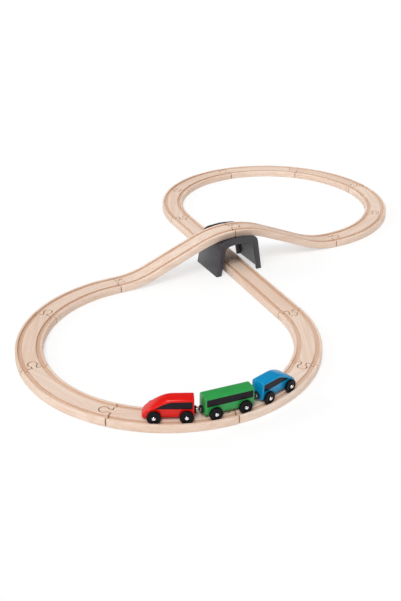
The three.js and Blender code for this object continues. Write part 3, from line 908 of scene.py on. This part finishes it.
class TRAIN_OT_bodies(bpy.types.Operator):
    """Shape and paint the three car bodies"""
    bl_idname = "train.bodies"
    bl_label = "Car bodies"

    def execute(self, context):
        settings = context.scene.train
        car = settings.car
        colours = settings.colours
        places = car_places(settings)
        window = gloss_paint("black window paint", tuple(colours.window), shine=0.12)
        turned = Matrix.Rotation(math.pi, 4, 'Z')
        for name, slot, rgb, cab, facing in (
                ("engine", "red_paint", colours.red, True, Matrix.Identity(4)),
                ("wagon", "green_paint", colours.green, False, Matrix.Identity(4)),
                ("tail", "blue_paint", colours.blue, True, turned)):
            place = places[name] @ facing
            if cab:
                body = milled(settings, cab_shape(car), True, [car.cab_back])
            else:
                body = milled(settings, wagon_shape(car), False, [-car.wagon_half, car.wagon_half])
            paint = gloss_paint(slot.replace("_", " "), tuple(rgb), shine=0.36)
            add_piece(f"{name}_wood", moved(body, place), name, slot, paint, f"{name}_body")
            bands = window_bands(car, cab, car.width / 2 - car.window_depth + car.window_paint)
            add_piece(f"{name}_windows", moved(bands, place), name, "black_plastic", window)
        return {'FINISHED'}


def wheel_shape(wheel):
    """Wheel about the X axis with a dished outer face towards +X."""
    half = wheel.width / 2
    edge = wheel.edge_round
    bore = wheel.axle_radius + wheel.run_gap
    tread = [
        (half - edge + edge * math.cos(a), wheel.radius - edge + edge * math.sin(a))
        for a in rounded()]
    floor = half - wheel.dish
    face = [
        (half, bore), (half, wheel.dish_inner), (floor, wheel.dish_inner + wheel.dish),
        (floor, wheel.dish_outer - wheel.dish), (half, wheel.dish_outer)]
    back = [(-along, radius) for along, radius in reversed(tread)]
    return lathe([*face, *tread, *back, (-half, bore)], closed=True)


class TRAIN_OT_wheels(bpy.types.Operator):
    """Turn the twelve wheels"""
    bl_idname = "train.wheels"
    bl_label = "Wheels"

    def execute(self, context):
        settings = context.scene.train
        black = moulded_plastic(
            "black wheel plastic", tuple(settings.colours.wheel),
            roughness=0.34, grain=0.08, shine=0.12)
        for car, place in car_places(settings).items():
            for end, end_name in ENDS:
                for side, side_name in SIDES:
                    name = f"{car}_wheel_{end_name}_{side_name}"
                    seat = Matrix.Translation(hub(settings, end, side * settings.track.gauge / 2))
                    facing = Matrix.Rotation(0 if side > 0 else math.pi, 4, 'Z')
                    disc = moved(wheel_shape(settings.wheel), place @ seat @ facing)
                    add_piece(f"{name}_disc", disc, name, "wheel_plastic", black, name)
        return {'FINISHED'}


class TRAIN_OT_axles(bpy.types.Operator):
    """Turn the six axle pins with their domed heads"""
    bl_idname = "train.axles"
    bl_label = "Axles"

    def execute(self, context):
        settings = context.scene.train
        wheel = settings.wheel
        half = settings.track.gauge / 2 + wheel.width / 2 + wheel.run_gap
        dome = [
            (half + wheel.head_height * math.sin(a), wheel.head_radius * math.cos(a))
            for a in rounded(DOME_STEPS)]
        outer = [(half, wheel.axle_radius), *dome]
        inner = [(-along, radius) for along, radius in reversed(outer)]
        steel = plated_metal("plated steel", tuple(settings.colours.steel), roughness=0.2)
        for car, place in car_places(settings).items():
            for end, end_name in ENDS:
                name = f"{car}_axle_{end_name}"
                seat = Matrix.Translation(hub(settings, end))
                pin = moved(lathe(inner + outer), place @ seat)
                add_piece(f"{name}_pin", pin, car, "steel", steel, name)
        return {'FINISHED'}


def cup_profile(car):
    """Shank and cup, outwards from the end of a body."""
    ease = car.coupler_ease
    inside = car.coupler_radius - car.coupler_rim
    floor = car.coupler_reach - car.magnet - car.fit_gap
    rim = car.coupler_reach - car.coupler_set
    return [
        (-car.shank_length, 0),
        (-car.shank_length, car.shank_radius),
        (car.fit_gap, car.shank_radius),
        (car.fit_gap, car.coupler_radius - ease),
        (car.fit_gap + ease, car.coupler_radius),
        (rim - ease, car.coupler_radius),
        (rim, car.coupler_radius - ease),
        (rim, inside + ease / 2),
        (rim - ease / 2, inside),
        (floor, inside),
        (floor, 0),
    ]


def magnet_profile(car):
    radius = car.coupler_radius - car.coupler_rim - car.fit_gap
    back = car.coupler_reach - car.magnet
    ease = car.coupler_ease
    return [
        (back, 0),
        (back, radius),
        (car.coupler_reach - ease, radius),
        (car.coupler_reach, radius - ease),
        (car.coupler_reach, 0),
    ]


class TRAIN_OT_couplers(bpy.types.Operator):
    """Turn the coupler cups and the magnets in them"""
    bl_idname = "train.couplers"
    bl_label = "Couplers"

    def execute(self, context):
        settings = context.scene.train
        car = settings.car
        places = car_places(settings)
        black = moulded_plastic(
            "black coupler plastic", tuple(settings.colours.coupler),
            roughness=0.42, grain=0.1, shine=0.2)
        nickel = plated_metal("nickel plate", tuple(settings.colours.nickel), roughness=0.24)
        for name, end, direction, body_end in couplers(car):
            seat = Matrix.Translation((0, direction * body_end, car.coupler_height))
            place = places[name] @ seat @ Matrix.Rotation(direction * math.pi / 2, 4, 'Z')
            coupler = f"{name}_coupler_{end}"
            magnet = f"{name}_magnet_{end}"
            cup = moved(lathe(cup_profile(car)), place)
            disc = moved(lathe(magnet_profile(car)), place)
            add_piece(f"{coupler}_cup", cup, name, "black_plastic", black, coupler)
            add_piece(f"{magnet}_disc", disc, name, "magnet", nickel, magnet)
        return {'FINISHED'}


# Stage. Lights have a name, the angle they fill in degrees, a strength and a place.

LIGHTS = (
    ("soft light", 28, 1.62, (0.1, -1.6, 2.2)),
    ("side light", 14, 0.35, (-1.7, -0.55, 1)),
    ("edge light", 10, 0.2, (-0.4, -0.5, 2.2)),
)
LIGHT_TARGET = Vector((0, -0.15, 0))
AMBIENT = 0.5

# Floor, half its width in metres and the share of its white that needs no light
FLOOR_HALF = 6
FLOOR_GLOW = 0.6

# Sines of the elevations where the white sweep ends and where its ceiling is dimmed by this share
SWEEP_END = 0.12
CEILING_START = 0.36
CEILING_DIMMED = 0.9

# Camera fitted to the photograph, its sensor and lens in millimetres
SENSOR = 36
LENS = 53.12
LENS_SHIFT = 0.025
CAMERA_PLACE = Vector((0.4085, -1.3389, 0.6540))
CAMERA_TARGET = Vector((-0.0246, -0.1536, 0))


def background_rays(tree):
    """1 for the rays that show the background to the camera, in a reflection or through glass."""
    path = add_node(tree, 'ShaderNodeLightPath').outputs
    mirrored = add_node(
        tree, 'ShaderNodeMath', links={0: path["Is Glossy Ray"], 1: path["Is Transmission Ray"]},
        operation='MAXIMUM')
    return add_node(
        tree, 'ShaderNodeMath', links={0: path["Is Camera Ray"], 1: mirrored.outputs[0]},
        operation='MAXIMUM').outputs[0]


def stage_floor(white):
    """Matt white paper, partly lit from within so that it stays white in soft shadow.

    Its tooth of 0.3 mm is drawn at 2.5 mm so that it shows.
    """
    material, tree, shader = new_material(
        "white paper", Roughness=0.9, **{"Specular IOR Level": 0.1})
    glow = add_node(tree, 'ShaderNodeEmission', {"Color": (*WHITE, 1), "Strength": 1})
    share = add_node(
        tree, 'ShaderNodeMath', {1: FLOOR_GLOW}, {0: background_rays(tree)}, operation='MULTIPLY')
    paper = add_node(
        tree, 'ShaderNodeMixShader',
        links={0: share.outputs[0], 1: shader.outputs["BSDF"], 2: glow.outputs[0]})
    tree.links.new(paper.outputs[0], tree.nodes["Material Output"].inputs["Surface"])
    place = add_node(tree, 'ShaderNodeTexCoord').outputs["Object"]
    tooth = add_node(tree, 'ShaderNodeTexNoise', {"Scale": every(2.5)}, {"Vector": place})
    shade = add_node(
        tree, 'ShaderNodeValToRGB', links={"Fac": tooth.outputs["Fac"]},
        stops=[(0.2, mixed(white, BLACK, 0.01)), (0.8, white)])
    tree.links.new(shade.outputs["Color"], shader.inputs["Base Color"])
    bm = bmesh.new()
    bmesh.ops.create_grid(bm, x_segments=1, y_segments=1, size=FLOOR_HALF)
    mesh = bpy.data.meshes.new("floor")
    bm.to_mesh(mesh)
    bm.free()
    mesh.materials.append(material)
    floor = bpy.data.objects.new("floor", mesh)
    bpy.context.scene.collection.objects.link(floor)


def studio_light(scene):
    """White sweep under a dim ceiling, a soft light above the camera, two small ones for edges."""
    scene.view_settings.view_transform = 'Standard'
    world = bpy.data.worlds.new("studio")
    world.use_nodes = True
    scene.world = world
    tree = world.node_tree
    tree.nodes.clear()
    direction = add_node(tree, 'ShaderNodeTexCoord').outputs["Generated"]
    height = add_node(tree, 'ShaderNodeSeparateXYZ', links={"Vector": direction}).outputs["Z"]
    backdrop = add_node(
        tree, 'ShaderNodeValToRGB', links={"Fac": height},
        stops=[(SWEEP_END, WHITE), (CEILING_START, mixed(WHITE, BLACK, CEILING_DIMMED))])
    seen = add_node(
        tree, 'ShaderNodeBackground', {"Strength": 1}, {"Color": backdrop.outputs["Color"]})
    cast = add_node(tree, 'ShaderNodeBackground', {"Color": (*WHITE, 1), "Strength": AMBIENT})
    sky = add_node(
        tree, 'ShaderNodeMixShader',
        links={0: background_rays(tree), 1: cast.outputs[0], 2: seen.outputs[0]})
    add_node(tree, 'ShaderNodeOutputWorld', links={"Surface": sky.outputs[0]})
    for name, degrees, strength, place in LIGHTS:
        lamp = bpy.data.lights.new(name, 'SUN')
        lamp.angle = math.radians(degrees)
        lamp.energy = strength
        light = bpy.data.objects.new(name, lamp)
        aim(light, Vector(place), LIGHT_TARGET)
        scene.collection.objects.link(light)


def aim(thing, place, target):
    """Places a light or the camera to face a target."""
    thing.location = place
    thing.rotation_euler = (target - place).to_track_quat('-Z', 'Y').to_euler()


def photo_camera(scene):
    data = bpy.data.cameras.new("photo camera")
    data.sensor_width = SENSOR
    data.lens = LENS
    data.shift_x = LENS_SHIFT
    camera = bpy.data.objects.new("photo camera", data)
    aim(camera, CAMERA_PLACE, CAMERA_TARGET)
    scene.collection.objects.link(camera)
    scene.camera = camera


class TRAIN_OT_stage(bpy.types.Operator):
    """Set the white floor, the soft light and the camera of the photograph"""
    bl_idname = "train.stage"
    bl_label = "Stage"

    def execute(self, context):
        stage_floor(tuple(context.scene.train.colours.floor))
        studio_light(context.scene)
        photo_camera(context.scene)
        return {'FINISHED'}


class TRAIN_PT_panel(bpy.types.Panel):
    """Sizes, colours and pieces of the train"""
    bl_idname = "TRAIN_PT_panel"
    bl_label = "Wooden toy train"
    bl_space_type = 'VIEW_3D'
    bl_region_type = 'UI'
    bl_category = "Train"

    def draw(self, context):
        settings = context.scene.train
        for part in settings.__annotations__:
            group = getattr(settings, part)
            box = self.layout.box()
            for name in group.__annotations__:
                box.prop(group, name)
        for operator in OPERATORS:
            self.layout.operator(operator.bl_idname)


OPERATORS = (
    TRAIN_OT_straights, TRAIN_OT_curves, TRAIN_OT_ramps, TRAIN_OT_support, TRAIN_OT_bodies,
    TRAIN_OT_wheels, TRAIN_OT_axles, TRAIN_OT_couplers, TRAIN_OT_stage,
)
CLASSES = (
    TrackSizes, SupportSizes, CarSizes, WheelSizes, Colours, TrainSettings,
    *OPERATORS, TRAIN_PT_panel,
)


def register():
    for cls in CLASSES:
        bpy.utils.register_class(cls)
    bpy.types.Scene.train = PointerProperty(type=TrainSettings)


def unregister():
    del bpy.types.Scene.train
    for cls in reversed(CLASSES):
        bpy.utils.unregister_class(cls)


def main():
    register()
    bpy.ops.train.straights()
    bpy.ops.train.curves()
    bpy.ops.train.ramps()
    bpy.ops.train.support()
    bpy.ops.train.bodies()
    bpy.ops.train.wheels()
    bpy.ops.train.axles()
    bpy.ops.train.couplers()
    bpy.ops.train.stage()


if __name__ == "__main__":
    main()
